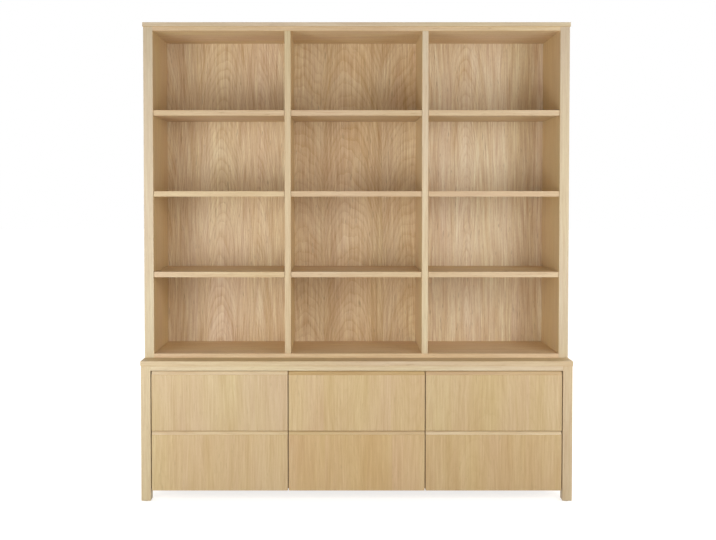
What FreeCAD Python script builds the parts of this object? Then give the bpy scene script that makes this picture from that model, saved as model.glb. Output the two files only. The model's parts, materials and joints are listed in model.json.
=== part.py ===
import FreeCAD, Part
import math
import operator
import os
import Sketcher

# Bookcase in two stacked units, in millimetres.
# An open shelf unit of three columns and four rows stands on a deeper base with six drawers.
# Frame: +Z up, the drawers open towards -Y, +X to the right of someone who faces them.
# The origin is on the floor, under the centre of the whole bookcase.

doc = FreeCAD.newDocument("bookcase")
sheet = doc.addObject("Spreadsheet::Sheet", "sizes")


# A size keeps its number and the sheet formula that it comes from

class Size:
    """A length worked out from the sheet: the number now, and the formula that follows the sheet."""

    def __init__(self, value, formula):
        self.value = float(value)
        self.formula = formula

    def __add__(self, other):
        return combined(self, "+", other)

    def __sub__(self, other):
        return combined(self, "-", other)

    def __mul__(self, other):
        return combined(self, "*", other)

    def __truediv__(self, other):
        return combined(self, "/", other)

    def __neg__(self):
        return combined(self, "*", -1)


ARITHMETIC = {
    "+": operator.add,
    "-": operator.sub,
    "*": operator.mul,
    "/": operator.truediv,
}


def combined(left, sign, right):
    """Two sizes, or a size and a plain factor, joined by one arithmetic sign."""
    if not isinstance(right, Size):
        right = Size(right, str(right))
    value = ARITHMETIC[sign](left.value, right.value)
    return Size(value, "(" + left.formula + " " + sign + " " + right.formula + ")")


aliases = []


def size(alias, millimetres, meaning):
    """One driving size: a row of the sheet with its meaning, its number and its alias."""
    aliases.append(alias)
    row = str(len(aliases))
    sheet.set("A" + row, meaning)
    sheet.set("B" + row, str(millimetres))
    sheet.setAlias("B" + row, alias)
    return Size(millimetres, "sizes." + alias)


# The floor, the middle plane and the face that a runner is screwed to
ZERO = Size(0, "0")


# Overall sizes
unit_width = size("unit_width", 1800, "width over the shelf unit's sides and over the legs")
overall_height = size("overall_height", 2010, "floor to the top of the cap")
base_height = size("base_height", 590, "floor to the top of the base")
base_depth = size("base_depth", 450, "front edge of the base's top board to the wall side")
hutch_depth = size("hutch_depth", 364, "depth of the shelf unit's sides")

# Shelf unit
cap_thickness = size("cap_thickness", 18, "cap board")
cap_overhang = size("cap_overhang", 3, "cap past the front and the sides")
hutch_side_thickness = size("hutch_side_thickness", 40, "sides of the shelf unit")
divider_thickness = size("divider_thickness", 26, "dividers between the columns")
hutch_top_thickness = size("hutch_top_thickness", 18, "top panel under the cap")
hutch_bottom_thickness = size("hutch_bottom_thickness", 18, "bottom panel on the base")
shelf_thickness = size("shelf_thickness", 23, "shelves")
shelf_end_gap = size("shelf_end_gap", 1, "shelf end to the upright beside it")
shelf_setback = size("shelf_setback", 3, "shelf's front edge behind the uprights' front")
shelf_rear_gap = size("shelf_rear_gap", 2, "shelf's rear edge to the back panel")
bottom_row_extra = size("bottom_row_extra", 5.5, "lowest row taller than the middle rows by")
top_row_extra = size("top_row_extra", 13.5, "highest row taller than the middle rows by")

# Shelf pins
pin_diameter = size("pin_diameter", 5, "shelf pin")
pin_seat = size("pin_seat", 9, "pin inside a side of the shelf unit")
pin_reach = size("pin_reach", 9, "pin under the shelf")
pin_slot_depth = size("pin_slot_depth", 5, "slot over each pin in the shelf's underside")
pin_slot_play = size("pin_slot_play", 1, "slot wider and longer than the pin by")
pin_inset = size("pin_inset", 40, "pin's centre from the shelf's front or rear edge")
pin_play = size("pin_play", 0.2, "pin holes wider, and in the sides deeper, than the pin by")

# Back panels and their grooves
back_thickness = size("back_thickness", 8, "back panels")
back_recess = size("back_recess", 13, "back panels in front of the wall side by")
groove_depth = size("groove_depth", 6, "grooves for the back panels")
groove_play = size("groove_play", 0.4, "groove wider and deeper than the panel by")

# Base
base_top_thickness = size("base_top_thickness", 20, "top board of the base")
base_top_overhang = size("base_top_overhang", 2, "top board past the legs' front and sides")
front_rail_height = size("front_rail_height", 20, "front rail under the top board")
rear_rail_height = size("rear_rail_height", 20, "rear rail under the top board")
rear_rail_depth = size("rear_rail_depth", 20, "rear rail, front to rear")
leg_size = size("leg_size", 40, "square legs")
leg_foot_chamfer = size("leg_foot_chamfer", 2, "chamfer round the foot of a leg")
base_side_thickness = size("base_side_thickness", 25, "side panels between the legs")
partition_thickness = size("partition_thickness", 20, "partitions between the drawers")
base_bottom_thickness = size("base_bottom_thickness", 18, "bottom panel of the base")
bottom_lift = size("bottom_lift", 3, "bottom panel's underside above the fronts' lower edge")
floor_gap = size("floor_gap", 47, "floor to the lower edge of the drawer fronts")

# Glides under the legs
glide_diameter = size("glide_diameter", 24, "glide's disc")
glide_height = size("glide_height", 3, "glide's disc below the leg")

# Bolts between the base and the shelf unit
bolt_diameter = size("bolt_diameter", 6, "bolt's shank")
bolt_grip = size("bolt_grip", 13, "shank inside the shelf unit's bottom panel")
bolt_head_width = size("bolt_head_width", 10, "bolt's hexagon head across its flats")
bolt_head_height = size("bolt_head_height", 4, "bolt's head below the top board")
bolt_play = size("bolt_play", 0.4, "bolt holes wider and deeper than the shank by")
bolt_side_inset = size("bolt_side_inset", 60, "bolt from the legs' inner faces")
bolt_edge_inset = size("bolt_edge_inset", 50, "bolt from the shelf unit's front or the rear rail")

# Drawer fronts
front_thickness = size("front_thickness", 20, "drawer fronts")
front_side_gap = size("front_side_gap", 4, "gap beside a front")
front_gap = size("front_gap", 3, "gap above a front")
front_play = size("front_play", 2, "front's rear face to the partitions' front edges")
grip_bevel_height = size("grip_bevel_height", 14, "bevel along a front's top edge, upright")
grip_bevel_depth = size("grip_bevel_depth", 11, "bevel along a front's top edge, front to rear")

# Drawer boxes
box_wall = size("box_wall", 15, "drawer box boards")
box_floor_thickness = size("box_floor_thickness", 6, "drawer bottom")
box_floor_lift = size("box_floor_lift", 12, "drawer bottom above the box's lower edge")
box_groove_depth = size("box_groove_depth", 7, "grooves for the drawer bottom")
box_groove_play = size("box_groove_play", 0.4, "drawer bottom's groove deeper by")
box_lift = size("box_lift", 25, "box's lower edge above the front's lower edge")
box_drop = size("box_drop", 43.5, "box's upper edge below the front's upper edge")
box_rear_gap = size("box_rear_gap", 5, "drawer box to the back panel")

# Telescopic runners
runner_width = size("runner_width", 12.7, "closed runner between the partition and the drawer")
runner_height = size("runner_height", 45, "cabinet member")
runner_steel = size("runner_steel", 1.2, "steel strip of the members")
runner_play = size("runner_play", 0.4, "play between two members")
runner_lip = size("runner_lip", 2, "lips that hold one member in the next")
runner_lift = size("runner_lift", 70, "runner's centre above the box's lower edge")

# Counts of what repeats
ROW_COUNT = 4
COLUMN_COUNT = 3
DRAWER_ROW_COUNT = 2
HEXAGON_SIDES = 6

# A hexagon's width across its flats, as a share of its corner radius
FLATS_TO_CORNER_SHARE = 2 * math.cos(math.pi / HEXAGON_SIDES)

# How far a cut or a tool runs past the material it cuts
overrun = size("overrun", 1, "cuts past the surface they start from")

doc.recompute()


# Ways of making a piece

START, END, CENTRE = 1, 2, 3
ORIGIN = (-1, 1)
PLANE_ROLES = {"x": "YZ_Plane", "y": "XZ_Plane", "z": "XY_Plane"}


def bind(item, prop, length):
    """Tie a property of an object to a size."""
    item.setExpression(prop, length.formula)


def hold(sketch, kind, geometry, point, length):
    """Hold a point of a sketch at a size, measured from the sketch's origin."""
    index = sketch.addConstraint(
        Sketcher.Constraint(kind, *ORIGIN, geometry, point, length.value))
    bind(sketch, "Constraints[" + str(index) + "]", length)


def new_sketch(body, name, normal, level):
    """A sketch across the axis named normal, at the given level on that axis."""
    role = PLANE_ROLES[normal]
    plane = [item for item in body.Origin.OriginFeatures if item.Role == role][0]
    sketch = body.newObject("Sketcher::SketchObject", name)
    sketch.AttachmentSupport = [(plane, "")]
    sketch.MapMode = "FlatFace"
    # The XZ plane looks along -Y, so a level on Y counts backwards there
    bind(sketch, "AttachmentOffset.Base.z", -level if normal == "y" else level)
    return sketch


def draw_outline(sketch, corners):
    """A closed outline of straight lines, each corner held across and up."""
    first = sketch.GeometryCount
    count = len(corners)
    places = [FreeCAD.Vector(across.value, up.value, 0) for across, up in corners]
    for index in range(count):
        line = Part.LineSegment(places[index], places[(index + 1) % count])
        sketch.addGeometry(line, False)
    for index in range(count):
        following = first + (index + 1) % count
        sketch.addConstraint(
            Sketcher.Constraint("Coincident", first + index, END, following, START))
    for index, (across, up) in enumerate(corners):
        hold(sketch, "DistanceX", first + index, START, across)
        hold(sketch, "DistanceY", first + index, START, up)


def draw_outlines(sketch, outlines):
    """Several closed outlines in one sketch."""
    for corners in outlines:
        draw_outline(sketch, corners)


def draw_circles(sketch, centres, diameter):
    """Circles of one diameter, each centre held across and up."""
    for across, up in centres:
        centre = FreeCAD.Vector(across.value, up.value, 0)
        circle = Part.Circle(centre, FreeCAD.Vector(0, 0, 1), diameter.value / 2)
        index = sketch.addGeometry(circle, False)
        hold(sketch, "DistanceX", index, CENTRE, across)
        hold(sketch, "DistanceY", index, CENTRE, up)
        width = sketch.addConstraint(Sketcher.Constraint("Diameter", index, diameter.value))
        bind(sketch, "Constraints[" + str(width) + "]", diameter)


def section(name, normal, corners, low, high):
    """A body whose outline runs straight from low to high along the axis named normal."""
    body = doc.addObject("PartDesign::Body", name)
    # A pad grows along its sketch's normal, which on the XZ plane is -Y
    sketch = new_sketch(body, name + "_outline", normal, high if normal == "y" else low)
    draw_outline(sketch, corners)
    pad = body.newObject("PartDesign::Pad", name + "_length")
    pad.Profile = sketch
    bind(pad, "Length", high - low)
    sketch.Visibility = False
    return body


def pocket(body, name, normal, level, depth, towards_plus, draw, *shape):
    """Cut what draw puts in a sketch at the level, to a depth, towards plus or minus."""
    doc.recompute()
    before = body.Shape.Volume
    sketch = new_sketch(body, name + "_outline", normal, level)
    draw(sketch, *shape)
    cut = body.newObject("PartDesign::Pocket", name)
    cut.Profile = sketch
    cut.Reversed = towards_plus
    bind(cut, "Length", depth)
    sketch.Visibility = False
    doc.recompute()
    if body.Shape.Volume >= before:
        raise RuntimeError(name + " cuts nothing")
    return cut


def board(name, x, y, z):
    """A plain board between its low and high size on each axis."""
    item = doc.addObject("Part::Box", name)
    for prop, (low, high) in (("Length", x), ("Width", y), ("Height", z)):
        bind(item, prop, high - low)
    for axis, (low, high) in (("x", x), ("y", y), ("z", z)):
        bind(item, "Placement.Base." + axis, low)
    return item


def rod(name, diameter, length, foot, along_x=False):
    """A round rod that stands on foot, or lies along +X from it."""
    item = doc.addObject("Part::Cylinder", name)
    bind(item, "Radius", diameter / 2)
    bind(item, "Height", length)
    if along_x:
        item.Placement.Rotation = FreeCAD.Rotation(FreeCAD.Vector(0, 1, 0), 90)
    for axis, place in zip("xyz", foot):
        bind(item, "Placement.Base." + axis, place)
    return item


def hexagon(name, width, height, foot):
    """A hexagon prism that stands on foot, its width measured across the flats."""
    item = doc.addObject("Part::Prism", name)
    item.Polygon = HEXAGON_SIDES
    bind(item, "Circumradius", width / FLATS_TO_CORNER_SHARE)
    bind(item, "Height", height)
    for axis, place in zip("xyz", foot):
        bind(item, "Placement.Base." + axis, place)
    return item


def fused(name, base, tool):
    """Two primitives that are one piece on the real object."""
    item = doc.addObject("Part::Fuse", name)
    item.Base = base
    item.Tool = tool
    return item


def grooved(name, base, tool):
    """A board with a groove cut out of it."""
    item = doc.addObject("Part::Cut", name)
    item.Base = base
    item.Tool = tool
    return item


def group(name, items):
    """Separate pieces that share one node."""
    item = doc.addObject("Part::Compound", name)
    item.Links = items
    return item


def mirrored(low, high, side):
    """The pair of places low and high, measured from the middle, on the left or the right."""
    if side > 0:
        return low, high
    return -high, -low


nodes = []
SIDES = (("left", -1), ("right", 1))

# Planes that more than one piece meets
half_width = unit_width / 2
wall_plane = base_depth / 2
base_top_front = -wall_plane
leg_front = base_top_front + base_top_overhang
hutch_front = wall_plane - hutch_depth
back_front = wall_plane - back_recess - back_thickness
groove_rear = back_front + back_thickness + groove_play
cap_under = overall_height - cap_thickness
hutch_ceiling = cap_under - hutch_top_thickness
hutch_floor = base_height + hutch_bottom_thickness
base_top_under = base_height - base_top_thickness
panel_reach = groove_depth - groove_play


# Shelf unit: columns and rows

hutch_inner_half = half_width - hutch_side_thickness
bay_width = (hutch_inner_half * 2 - divider_thickness * (COLUMN_COUNT - 1)) / COLUMN_COUNT
divider_near = bay_width / 2
divider_far = divider_near + divider_thickness
BAYS = {
    "left": mirrored(divider_far, hutch_inner_half, -1),
    "centre": mirrored(-divider_near, divider_near, 1),
    "right": mirrored(divider_far, hutch_inner_half, 1),
}

shelves_in_a_column = ROW_COUNT - 1
clear_height = hutch_ceiling - hutch_floor - shelf_thickness * shelves_in_a_column
row_clear = (clear_height - bottom_row_extra - top_row_extra) / ROW_COUNT
lowest_shelf_under = hutch_floor + bottom_row_extra + row_clear
shelf_unders = [lowest_shelf_under + (row_clear + shelf_thickness) * row
                for row in range(shelves_in_a_column)]
SHELF_NAMES = ("lower", "middle", "upper")

shelf_front = hutch_front + shelf_setback
shelf_rear = back_front - shelf_rear_gap
pin_rows = [under + pin_slot_depth - pin_diameter / 2 for under in shelf_unders]
pin_columns = (shelf_front + pin_inset, shelf_rear - pin_inset)
pin_places = [(across, up) for up in pin_rows for across in pin_columns]
pin_hole_diameter = pin_diameter + pin_play
pin_hole_depth = pin_seat + pin_play


def make_cap():
    """The cap lies on the top panel and the sides, a little proud at the front and the sides."""
    reach = half_width + cap_overhang
    nodes.append(board(
        "hutch_cap",
        (-reach, reach),
        (hutch_front - cap_overhang, wall_plane),
        (cap_under, overall_height)))


def make_hutch_sides():
    """The sides: slabs with a groove for the back panel and blind holes for the shelf pins."""
    for word, side in SIDES:
        outer = half_width * side
        inner = hutch_inner_half * side
        groove_floor = (hutch_inner_half + groove_depth) * side
        corners = [
            (outer, hutch_front),
            (inner, hutch_front),
            (inner, back_front),
            (groove_floor, back_front),
            (groove_floor, groove_rear),
            (inner, groove_rear),
            (inner, wall_plane),
            (outer, wall_plane),
        ]
        name = "hutch_side_" + word
        body = section(name, "z", corners, base_height, cap_under)
        pocket(body, name + "_pin_holes", "x", inner, pin_hole_depth, side > 0,
               draw_circles, pin_places, pin_hole_diameter)
        nodes.append(body)


def make_dividers():
    """The dividers: grooved on both faces and drilled through for the rods under the shelves."""
    for word, side in SIDES:
        near = divider_near * side
        far = divider_far * side
        near_groove = (divider_near + groove_depth) * side
        far_groove = (divider_far - groove_depth) * side
        corners = [
            (near, hutch_front),
            (far, hutch_front),
            (far, back_front),
            (far_groove, back_front),
            (far_groove, groove_rear),
            (far, groove_rear),
            (far, wall_plane),
            (near, wall_plane),
            (near, groove_rear),
            (near_groove, groove_rear),
            (near_groove, back_front),
            (near, back_front),
        ]
        name = "hutch_divider_" + word
        body = section(name, "z", corners, hutch_floor, hutch_ceiling)
        pocket(body, name + "_pin_holes", "x", near, divider_thickness, side > 0,
               draw_circles, pin_places, pin_hole_diameter)
        nodes.append(body)


def make_hutch_top_panel():
    """The panel between the sides under the cap, grooved below for the back panels."""
    groove_roof = hutch_ceiling + groove_depth
    corners = [
        (hutch_front, hutch_ceiling),
        (back_front, hutch_ceiling),
        (back_front, groove_roof),
        (groove_rear, groove_roof),
        (groove_rear, hutch_ceiling),
        (wall_plane, hutch_ceiling),
        (wall_plane, cap_under),
        (hutch_front, cap_under),
    ]
    nodes.append(section("hutch_top_panel", "x", corners, -hutch_inner_half, hutch_inner_half))


bolt_across = half_width - leg_size - bolt_side_inset
bolt_columns = (hutch_front + bolt_edge_inset, back_front - rear_rail_depth - bolt_edge_inset)
bolt_places = [(bolt_across * side, along) for word, side in SIDES for along in bolt_columns]


def make_hutch_bottom_panel():
    """The panel that stands on the base, grooved above and drilled below for the bolts."""
    groove_floor = hutch_floor - groove_depth
    corners = [
        (hutch_front, base_height),
        (wall_plane, base_height),
        (wall_plane, hutch_floor),
        (groove_rear, hutch_floor),
        (groove_rear, groove_floor),
        (back_front, groove_floor),
        (back_front, hutch_floor),
        (hutch_front, hutch_floor),
    ]
    body = section("hutch_bottom_panel", "x", corners, -hutch_inner_half, hutch_inner_half)
    pocket(body, "hutch_bottom_panel_bolt_holes", "z", base_height, bolt_grip + bolt_play, True,
           draw_circles, bolt_places, bolt_diameter + bolt_play)
    nodes.append(body)


def rectangle(across, along):
    """The corners of a rectangle between its low and high size both ways."""
    return [(across[0], along[0]), (across[1], along[0]),
            (across[1], along[1]), (across[0], along[1])]


def make_shelves():
    """Nine loose shelves, a little short of the uprights, with a slot over each pin."""
    half_slot = (pin_diameter + pin_slot_play) / 2
    slot_reach = pin_reach + pin_slot_play
    for column, (low, high) in BAYS.items():
        slots = []
        for along in pin_columns:
            for across in ((low, low + slot_reach), (high - slot_reach, high)):
                slots.append(rectangle(across, (along - half_slot, along + half_slot)))
        ends = (low + shelf_end_gap, high - shelf_end_gap)
        for word, under in zip(SHELF_NAMES, shelf_unders):
            name = "shelf_" + column + "_" + word
            body = section(name, "z", rectangle(ends, (shelf_front, shelf_rear)),
                           under, under + shelf_thickness)
            pocket(body, name + "_pin_slots", "z", under, pin_slot_depth, True,
                   draw_outlines, slots)
            nodes.append(body)


def make_hutch_backs():
    """One back panel a column, held in the grooves on all four edges."""
    for column, (low, high) in BAYS.items():
        nodes.append(board(
            "hutch_back_" + column,
            (low - panel_reach, high + panel_reach),
            (back_front, back_front + back_thickness),
            (hutch_floor - panel_reach, hutch_ceiling + panel_reach)))


def make_shelf_pins():
    """Pins in the sides, and rods through the dividers that carry a shelf at each end."""
    short = pin_seat + pin_reach
    long = divider_thickness + pin_reach * 2
    rows = (
        ("side_left", -hutch_inner_half - pin_seat, short),
        ("divider_left", -divider_far - pin_reach, long),
        ("divider_right", divider_near - pin_reach, long),
        ("side_right", hutch_inner_half - pin_reach, short),
    )
    pins = []
    for upright, start, length in rows:
        for number, (along, up) in enumerate(pin_places, 1):
            name = "_".join(("pin", upright, str(number)))
            pins.append(rod(name, pin_diameter, length, (start, along, up), True))
    nodes.append(group("shelf_pins", pins))


# Base: columns of drawers between the legs

carcass_half = half_width - leg_size
drawer_bay = (carcass_half * 2 - partition_thickness * (COLUMN_COUNT - 1)) / COLUMN_COUNT
partition_near = drawer_bay / 2
partition_far = partition_near + partition_thickness
DRAWER_BAYS = {
    "left": mirrored(partition_far, carcass_half, -1),
    "centre": mirrored(-partition_near, partition_near, 1),
    "right": mirrored(partition_far, carcass_half, 1),
}

front_rear = leg_front + front_thickness
rail_rear = front_rear + front_play
rail_under = base_top_under - front_rail_height
bottom_under = floor_gap + bottom_lift
bottom_top = bottom_under + base_bottom_thickness
leg_rows = (("front", leg_front), ("rear", wall_plane - leg_size))


def make_base_top():
    """The top board: a shallow overhang, a stopped groove for the back panel, bolt holes."""
    reach = half_width + base_top_overhang
    corners = [
        (-reach, base_top_front),
        (reach, base_top_front),
        (reach, wall_plane),
        (-reach, wall_plane),
    ]
    body = section("base_top", "z", corners, base_top_under, base_height)
    groove_half = carcass_half + groove_depth
    groove_corners = [
        (-groove_half, back_front),
        (groove_half, back_front),
        (groove_half, groove_rear),
        (-groove_half, groove_rear),
    ]
    pocket(body, "base_top_groove", "z", base_top_under, groove_depth, True,
           draw_outline, groove_corners)
    pocket(body, "base_top_bolt_holes", "z", base_top_under - overrun,
           base_top_thickness + overrun * 2, True,
           draw_circles, bolt_places, bolt_diameter + bolt_play)
    nodes.append(body)


def make_rails():
    """The rails that tie the carcass together under the top board."""
    across = (-carcass_half, carcass_half)
    nodes.append(board("base_front_rail", across, (leg_front, rail_rear),
                       (rail_under, base_top_under)))
    nodes.append(board("base_rear_rail", across, (back_front - rear_rail_depth, back_front),
                       (base_top_under - rear_rail_height, base_top_under)))


def make_legs():
    """Square legs with a chamfered foot; the rear pair is grooved for the back panel."""
    for row, near in leg_rows:
        for word, side in SIDES:
            name = "leg_" + row + "_" + word
            outer = half_width * side
            inner = carcass_half * side
            corners = [
                (outer, near),
                (inner, near),
                (inner, near + leg_size),
                (outer, near + leg_size),
            ]
            body = section(name, "z", corners, glide_height, base_top_under)
            if row == "rear":
                groove_floor = (carcass_half + groove_depth) * side
                groove_corners = [
                    (inner, back_front),
                    (groove_floor, back_front),
                    (groove_floor, groove_rear),
                    (inner, groove_rear),
                ]
                pocket(body, name + "_groove", "z", base_top_under,
                       base_top_under - bottom_under, False,
                       draw_outline, groove_corners)
            chamfer_foot(body, name)
            nodes.append(body)


def chamfer_foot(body, name):
    """Break the four edges round the underside of a leg."""
    doc.recompute()
    solid = body.Tip
    foot_edges = []
    for number, edge in enumerate(solid.Shape.Edges, 1):
        box = edge.BoundBox
        straight = isinstance(edge.Curve, Part.Line)
        if straight and abs(box.ZMax - glide_height.value) < Part.Precision.confusion():
            foot_edges.append("Edge" + str(number))
    chamfer = body.newObject("PartDesign::Chamfer", name + "_foot")
    chamfer.Base = (solid, foot_edges)
    bind(chamfer, "Size", leg_foot_chamfer)


def make_base_sides():
    """Side panels between the legs, flush with the legs' inner faces."""
    for word, side in SIDES:
        nodes.append(board(
            "base_side_" + word,
            mirrored(carcass_half, carcass_half + base_side_thickness, side),
            (leg_front + leg_size, wall_plane - leg_size),
            (floor_gap, base_top_under)))


def make_partitions():
    """Partitions between the drawer columns, notched round the rear rail."""
    notch_front = back_front - rear_rail_depth
    notch_under = base_top_under - rear_rail_height
    corners = [
        (rail_rear, bottom_top),
        (back_front, bottom_top),
        (back_front, notch_under),
        (notch_front, notch_under),
        (notch_front, base_top_under),
        (rail_rear, base_top_under),
    ]
    for word, side in SIDES:
        low, high = mirrored(partition_near, partition_far, side)
        nodes.append(section("base_partition_" + word, "x", corners, low, high))


def make_base_panels():
    """The bottom panel, and the back panel that stands in the grooves behind it."""
    nodes.append(board("base_bottom_panel", (-carcass_half, carcass_half),
                       (rail_rear, back_front), (bottom_under, bottom_top)))
    reach = carcass_half + panel_reach
    nodes.append(board("base_back_panel", (-reach, reach),
                       (back_front, back_front + back_thickness),
                       (bottom_under, base_top_under + panel_reach)))


def make_glides():
    """A round glide under each leg, on the floor."""
    glides = []
    for row, near in leg_rows:
        for word, side in SIDES:
            centre = ((half_width - leg_size / 2) * side, near + leg_size / 2, ZERO)
            name = "glide_" + row + "_" + word
            glides.append(rod(name, glide_diameter, glide_height, centre))
    nodes.append(group("foot_glides", glides))


def make_bolts():
    """Hexagon bolts from inside the base up into the shelf unit's bottom panel."""
    bolts = []
    for number, (across, along) in enumerate(bolt_places, 1):
        name = "bolt_" + str(number)
        head = hexagon(name + "_head", bolt_head_width, bolt_head_height,
                       (across, along, base_top_under - bolt_head_height))
        shank = rod(name + "_shank", bolt_diameter, base_top_thickness + bolt_grip,
                    (across, along, base_top_under))
        bolts.append(fused(name, head, shank))
    nodes.append(group("hutch_fixing_bolts", bolts))


# Drawers: three columns of two, all boxes and runners alike

front_width = (carcass_half * 2 - front_side_gap * (COLUMN_COUNT + 1)) / COLUMN_COUNT
front_pitch = front_width + front_side_gap
FRONT_CENTRES = {"left": -front_pitch, "centre": ZERO, "right": front_pitch}
fronts_height = rail_under - floor_gap - front_gap * DRAWER_ROW_COUNT
front_height = fronts_height / DRAWER_ROW_COUNT
DRAWER_ROWS = {"lower": floor_gap, "upper": floor_gap + front_height + front_gap}

box_front = front_rear
box_rear = back_front - box_rear_gap
runner_front = rail_rear
runner_rear = box_rear


def make_drawer_front(name, centre, under):
    """A front with a bevel along its top edge to pull it by."""
    top = under + front_height
    corners = [
        (leg_front, under),
        (front_rear, under),
        (front_rear, top),
        (leg_front + grip_bevel_depth, top),
        (leg_front, top - grip_bevel_height),
    ]
    nodes.append(section(name + "_front", "x", corners,
                         centre - front_width / 2, centre + front_width / 2))


def make_drawer_box(name, bay, under, top):
    """Two sides with the front and rear boards between them, and a bottom in grooves."""
    left = bay[0] + runner_width
    right = bay[1] - runner_width
    left_inner = left + box_wall
    right_inner = right - box_wall
    floor_under = under + box_floor_lift
    floor_top = floor_under + box_floor_thickness
    floor_reach = box_groove_depth - box_groove_play
    groove_left = left_inner - box_groove_depth
    groove_right = right_inner + box_groove_depth
    groove_front = box_front + box_wall - box_groove_depth
    pieces = []
    for word, side_x, groove_x in (
            ("left", (left, left_inner), (groove_left, left_inner + overrun)),
            ("right", (right_inner, right), (right_inner - overrun, groove_right))):
        blank = board(name + "_side_" + word + "_blank", side_x,
                      (box_front, box_rear), (under, top))
        groove = board(name + "_side_" + word + "_groove", groove_x,
                       (groove_front, box_rear + overrun), (floor_under, floor_top))
        pieces.append(grooved(name + "_side_" + word, blank, groove))
    blank = board(name + "_front_board_blank", (left_inner, right_inner),
                  (box_front, box_front + box_wall), (under, top))
    groove = board(name + "_front_board_groove", (left_inner - overrun, right_inner + overrun),
                   (groove_front, box_front + box_wall + overrun), (floor_under, floor_top))
    pieces.append(grooved(name + "_front_board", blank, groove))
    pieces.append(board(name + "_rear_board", (left_inner, right_inner),
                        (box_rear - box_wall, box_rear), (floor_top, top)))
    pieces.append(board(name + "_bottom", (left_inner - floor_reach, right_inner + floor_reach),
                        (groove_front + box_groove_play, box_rear), (floor_under, floor_top)))
    nodes.append(group(name + "_box", pieces))


# Telescopic runners: three channels of folded steel strip, each hooked inside the next

cabinet_half = runner_height / 2
cabinet_inner_half = cabinet_half - runner_steel
cabinet_reach = runner_width - runner_steel - runner_play
mid_web = runner_steel + runner_play
mid_half = cabinet_inner_half - runner_play
mid_inner_half = mid_half - runner_steel
mid_reach = cabinet_reach - runner_steel - runner_play
drawer_end = mid_web + runner_steel + runner_play
drawer_half = mid_inner_half - runner_lip - runner_play


def inturned_channel(web, reach, half):
    """Section of a channel whose lips turn inwards: from the web to its reach, half its height."""
    web_inner = web + runner_steel
    lip_inner = reach - runner_steel
    inner_half = half - runner_steel
    lip_half = inner_half - runner_lip
    upper = [
        (web_inner, inner_half),
        (lip_inner, inner_half),
        (lip_inner, lip_half),
        (reach, lip_half),
        (reach, half),
        (web, half),
    ]
    lower = [(across, -up) for across, up in reversed(upper)]
    return upper + lower


def outturned_channel(web, end, half):
    """Section of the drawer member, open the other way, with lips that turn outwards."""
    web_inner = web - runner_steel
    lip_inner = end + runner_steel
    inner_half = half - runner_steel
    lip_half = half + runner_lip
    upper = [
        (web, half),
        (lip_inner, half),
        (lip_inner, lip_half),
        (end, lip_half),
        (end, inner_half),
        (web_inner, inner_half),
    ]
    lower = [(across, -up) for across, up in reversed(upper)]
    return upper + lower


CHANNELS = {
    "cabinet": inturned_channel(ZERO, cabinet_reach, cabinet_half),
    "mid": inturned_channel(mid_web, mid_reach, mid_half),
    "drawer": outturned_channel(runner_width, drawer_end, drawer_half),
}


def runner_pair(name, member, bay, centre):
    """One member on the left and one on the right of a drawer, as two separate pieces."""
    pair = []
    for word, face, towards in (("left", bay[0], 1), ("right", bay[1], -1)):
        corners = [(face + across * towards, centre + up) for across, up in CHANNELS[member]]
        pair.append(section(name + "_" + word, "y", corners, runner_front, runner_rear))
    return pair


def make_drawers():
    """The six drawers, and the cabinet members of their runners as one group."""
    cabinet_members = []
    for column, bay in DRAWER_BAYS.items():
        for row, under in DRAWER_ROWS.items():
            name = "drawer_" + column + "_" + row
            box_under = under + box_lift
            box_top = under + front_height - box_drop
            centre = box_under + runner_lift
            make_drawer_front(name, FRONT_CENTRES[column], under)
            make_drawer_box(name, bay, box_under, box_top)
            nodes.append(group(name + "_runners",
                               runner_pair(name + "_runner", "drawer", bay, centre)))
            nodes.append(group(name + "_mid_runners",
                               runner_pair(name + "_mid_runner", "mid", bay, centre)))
            cabinet_members += runner_pair(name + "_cabinet_runner", "cabinet", bay, centre)
    nodes.append(group("cabinet_runners", cabinet_members))


def check_document():
    """Stop on anything that failed, before a file is written."""
    for item in doc.Objects:
        if "Invalid" in item.State or "Error" in item.State:
            raise RuntimeError(item.Name + " failed: " + ", ".join(item.State))
    for node in nodes:
        shape = node.Shape
        if shape.isNull() or not shape.isValid() or not shape.Solids:
            raise RuntimeError(node.Label + " has no valid solid")


def write_parts():
    """Write each sub-part to its own file, named after its label."""
    os.makedirs("parts", exist_ok=True)
    for node in nodes:
        node.Shape.exportStep("parts/" + node.Label + ".step")
    solids = sum(len(node.Shape.Solids) for node in nodes)
    print(len(nodes), "sub-parts,", solids, "solids")


make_cap()
make_hutch_top_panel()
make_hutch_sides()
make_dividers()
make_hutch_bottom_panel()
make_shelves()
make_hutch_backs()
make_shelf_pins()
make_base_top()
make_rails()
make_legs()
make_base_sides()
make_partitions()
make_base_panels()
make_glides()
make_bolts()
make_drawers()
doc.recompute()
check_document()
write_parts()
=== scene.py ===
# %% [markdown]
# # An oak bookcase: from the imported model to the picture
#
# The bookcase is two units, one on the other: open shelves above, six drawers below. Its boards,
# runners and pins are already built and packed at their real size, in metres, with the wall plane
# behind it and the floor at zero. This lesson dresses that model: every board gets rounded arrises and
# its own piece of oak, and the small fittings get their turned and pressed shapes.
#
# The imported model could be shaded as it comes, but its edges are perfectly sharp and no two boards
# could have different grain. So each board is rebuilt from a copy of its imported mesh.

import json
import math
import random

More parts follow.
